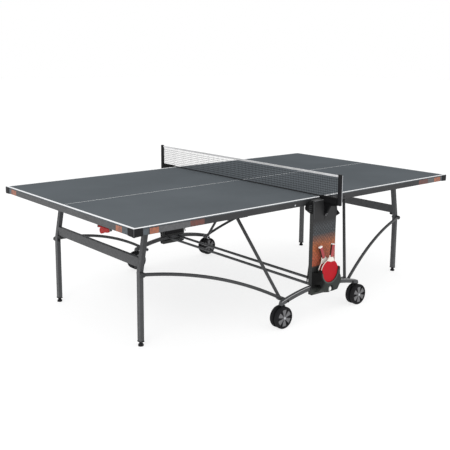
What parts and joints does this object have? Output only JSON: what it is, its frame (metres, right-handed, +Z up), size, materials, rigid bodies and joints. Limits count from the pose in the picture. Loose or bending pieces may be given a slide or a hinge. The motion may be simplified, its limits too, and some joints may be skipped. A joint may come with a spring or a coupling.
{
  "type": "ping pong table",
  "caption": "Folding outdoor ping pong table: half tops on hinged leg pairs, a wheeled centre carriage with linkage arms, side columns, a net, and rackets with a ball in a pocket.",
  "frame": {"origin": "on the floor at the centre of the table, below the middle of the net", "axes": "+X along the playing length, +Y across the table away from the racket side, +Z up"},
  "size_m": [2.744, 1.86, 0.9175],
  "materials": {
    "board": "fine matt playing surface",
    "steel_frame": "dark grey powder coat",
    "black_plastic": "moulded grain",
    "red_plastic": "moulded",
    "column": "moulded",
    "tyre": "soft tread with grey covers",
    "bright_steel": "zinc plated",
    "net": "open mesh",
    "band": "woven tape",
    "cord": "braided",
    "blade": "rubber sheets on a plywood blade",
    "grip": "moulded grip",
    "ball": "fine matt"
  },
  "bodies": {
    "carriage": {"side_beams": "steel_frame", "cross_tubes": "steel_frame", "link_pivots": "bright_steel", "column_near": "column", "column_far": "column", "guide_tracks": "black_plastic", "latch_blocks": "black_plastic", "pocket_near": "black_plastic", "pocket_far": "black_plastic", "net_arms": "black_plastic", "net_posts": "black_plastic", "net_cloth": "net", "net_band": "band", "net_cord": "cord"},
    "shoes_right": {"guide_shoes_right": "black_plastic"},
    "half_right": {"board_right": "board", "side_aprons_right": "steel_frame", "end_apron_right": "steel_frame", "inner_rail_right": "steel_frame", "corner_guards_right": "black_plastic", "leg_brackets_right": "steel_frame", "link_hangers_right": "steel_frame"},
    "lever_right": {"release_lever_right": "red_plastic"},
    "legs_right": {"leg_tubes_right": "steel_frame", "leg_caps_right": "black_plastic", "crossbar_right": "steel_frame"},
    "straight_right": {"straight_links_right": "steel_frame"},
    "curved_right": {"curved_links_right": "steel_frame"},
    "shoes_left": {"guide_shoes_left": "black_plastic"},
    "half_left": {"board_left": "board", "side_aprons_left": "steel_frame", "end_apron_left": "steel_frame", "inner_rail_left": "steel_frame", "corner_guards_left": "black_plastic", "leg_brackets_left": "steel_frame", "link_hangers_left": "steel_frame"},
    "lever_left": {"release_lever_left": "red_plastic"},
    "legs_left": {"leg_tubes_left": "steel_frame", "leg_caps_left": "black_plastic", "crossbar_left": "steel_frame"},
    "straight_left": {"straight_links_left": "steel_frame"},
    "curved_left": {"curved_links_left": "steel_frame"},
    "foot_near_left": {"foot_near_left": "black_plastic"},
    "fork_near_left": {"fork_near_left": "black_plastic"},
    "wheel_near_left": {"wheel_near_left": "tyre"},
    "foot_near_right": {"foot_near_right": "black_plastic"},
    "fork_near_right": {"fork_near_right": "black_plastic"},
    "wheel_near_right": {"wheel_near_right": "tyre"},
    "foot_far_left": {"foot_far_left": "black_plastic"},
    "fork_far_left": {"fork_far_left": "black_plastic"},
    "wheel_far_left": {"wheel_far_left": "tyre"},
    "foot_far_right": {"foot_far_right": "black_plastic"},
    "fork_far_right": {"fork_far_right": "black_plastic"},
    "wheel_far_right": {"wheel_far_right": "tyre"},
    "racket_front": {"racket_front_blade": "blade", "racket_front_handle": "grip"},
    "racket_rear": {"racket_rear_blade": "blade", "racket_rear_handle": "grip"},
    "ball": {"ball": "ball"}
  },
  "joints": [
    {"name": "shoe_slide_right", "type": "slide", "parent": "carriage", "child": "shoes_right", "axis": [0.155, 0, -0.9879], "range_m": [0, 0.51644]},
    {"name": "fold_right", "type": "hinge", "parent": "shoes_right", "child": "half_right", "pos_m": [0.015, 0, 0.74], "axis": [0, -1, 0], "range_deg": [0, 90]},
    {"name": "leg_hinge_right", "type": "hinge", "parent": "half_right", "child": "legs_right", "pos_m": [1.106, 0, 0.7], "axis": [0, 1, 0], "range_deg": [0, 90.1]},
    {"name": "straight_pivot_right", "type": "hinge", "parent": "carriage", "child": "straight_right", "pos_m": [0.3, 0, 0.16], "axis": [0, -1, 0], "range_deg": [0, 34.89]},
    {"name": "curved_pivot_right", "type": "hinge", "parent": "carriage", "child": "curved_right", "pos_m": [0.3, 0, 0.16], "axis": [0, -1, 0], "range_deg": [0, 80.8]},
    {"name": "release_right", "type": "hinge", "parent": "half_right", "child": "lever_right", "pos_m": [1.356, 0.46, 0.708], "axis": [0, 1, 0], "range_deg": [0, 25], "stiffness_Nm_per_rad": 1, "springref_deg": -11.46},
    {"name": "shoe_slide_left", "type": "slide", "parent": "carriage", "child": "shoes_left", "axis": [-0.155, 0, -0.9879], "range_m": [0, 0.51644]},
    {"name": "fold_left", "type": "hinge", "parent": "shoes_left", "child": "half_left", "pos_m": [-0.015, 0, 0.74], "axis": [0, 1, 0], "range_deg": [0, 90]},
    {"name": "leg_hinge_left", "type": "hinge", "parent": "half_left", "child": "legs_left", "pos_m": [-1.106, 0, 0.7], "axis": [0, -1, 0], "range_deg": [0, 90.1]},
    {"name": "straight_pivot_left", "type": "hinge", "parent": "carriage", "child": "straight_left", "pos_m": [-0.3, 0, 0.16], "axis": [0, 1, 0], "range_deg": [0, 34.89]},
    {"name": "curved_pivot_left", "type": "hinge", "parent": "carriage", "child": "curved_left", "pos_m": [-0.3, 0, 0.16], "axis": [0, 1, 0], "range_deg": [0, 80.8]},
    {"name": "release_left", "type": "hinge", "parent": "half_left", "child": "lever_left", "pos_m": [-1.356, -0.46, 0.708], "axis": [0, -1, 0], "range_deg": [0, 25], "stiffness_Nm_per_rad": 1, "springref_deg": -11.46},
    {"name": "level_near_left", "type": "slide", "parent": "legs_left", "child": "foot_near_left", "axis": [0, 0, -1], "range_m": [0, 0.012]},
    {"name": "swivel_near_left", "type": "hinge", "parent": "carriage", "child": "fork_near_left", "pos_m": [-0.33, -0.785, 0.13], "axis": [0, 0, 1], "continuous": true},
    {"name": "spin_near_left", "type": "hinge", "parent": "fork_near_left", "child": "wheel_near_left", "pos_m": [-0.345, -0.785, 0.068], "axis": [0, 1, 0], "continuous": true},
    {"name": "level_near_right", "type": "slide", "parent": "legs_right", "child": "foot_near_right", "axis": [0, 0, -1], "range_m": [0, 0.012]},
    {"name": "swivel_near_right", "type": "hinge", "parent": "carriage", "child": "fork_near_right", "pos_m": [0.33, -0.785, 0.13], "axis": [0, 0, 1], "continuous": true},
    {"name": "spin_near_right", "type": "hinge", "parent": "fork_near_right", "child": "wheel_near_right", "pos_m": [0.345, -0.785, 0.068], "axis": [0, 1, 0], "continuous": true},
    {"name": "level_far_left", "type": "slide", "parent": "legs_left", "child": "foot_far_left", "axis": [0, 0, -1], "range_m": [0, 0.012]},
    {"name": "swivel_far_left", "type": "hinge", "parent": "carriage", "child": "fork_far_left", "pos_m": [-0.33, 0.785, 0.13], "axis": [0, 0, 1], "continuous": true},
    {"name": "spin_far_left", "type": "hinge", "parent": "fork_far_left", "child": "wheel_far_left", "pos_m": [-0.345, 0.785, 0.068], "axis": [0, 1, 0], "continuous": true},
    {"name": "level_far_right", "type": "slide", "parent": "legs_right", "child": "foot_far_right", "axis": [0, 0, -1], "range_m": [0, 0.012]},
    {"name": "swivel_far_right", "type": "hinge", "parent": "carriage", "child": "fork_far_right", "pos_m": [0.33, 0.785, 0.13], "axis": [0, 0, 1], "continuous": true},
    {"name": "spin_far_right", "type": "hinge", "parent": "fork_far_right", "child": "wheel_far_right", "pos_m": [0.345, 0.785, 0.068], "axis": [0, 1, 0], "continuous": true},
    {"name": "lift_racket_front", "type": "slide", "parent": "carriage", "child": "racket_front", "axis": [0, 0, 1], "range_m": [0, 0.16]},
    {"name": "lift_racket_rear", "type": "slide", "parent": "carriage", "child": "racket_rear", "axis": [0, 0, 1], "range_m": [0, 0.16]},
    {"name": "take_ball", "type": "slide", "parent": "carriage", "child": "ball", "axis": [0, -1, 0], "range_m": [0, 0.09]}
  ],
  "couplings": [
    {"joint": "shoe_slide_right", "follows": "fold_right", "m_per_rad": 0.32865},
    {"joint": "leg_hinge_right", "follows": "fold_right", "ratio": 1},
    {"joint": "straight_pivot_right", "follows": "fold_right", "ratio": 0.38654},
    {"joint": "curved_pivot_right", "follows": "fold_right", "ratio": 0.89663},
    {"joint": "shoe_slide_left", "follows": "fold_left", "m_per_rad": 0.32865},
    {"joint": "leg_hinge_left", "follows": "fold_left", "ratio": 1},
    {"joint": "straight_pivot_left", "follows": "fold_left", "ratio": 0.38654},
    {"joint": "curved_pivot_left", "follows": "fold_left", "ratio": 0.89663}
  ]
}
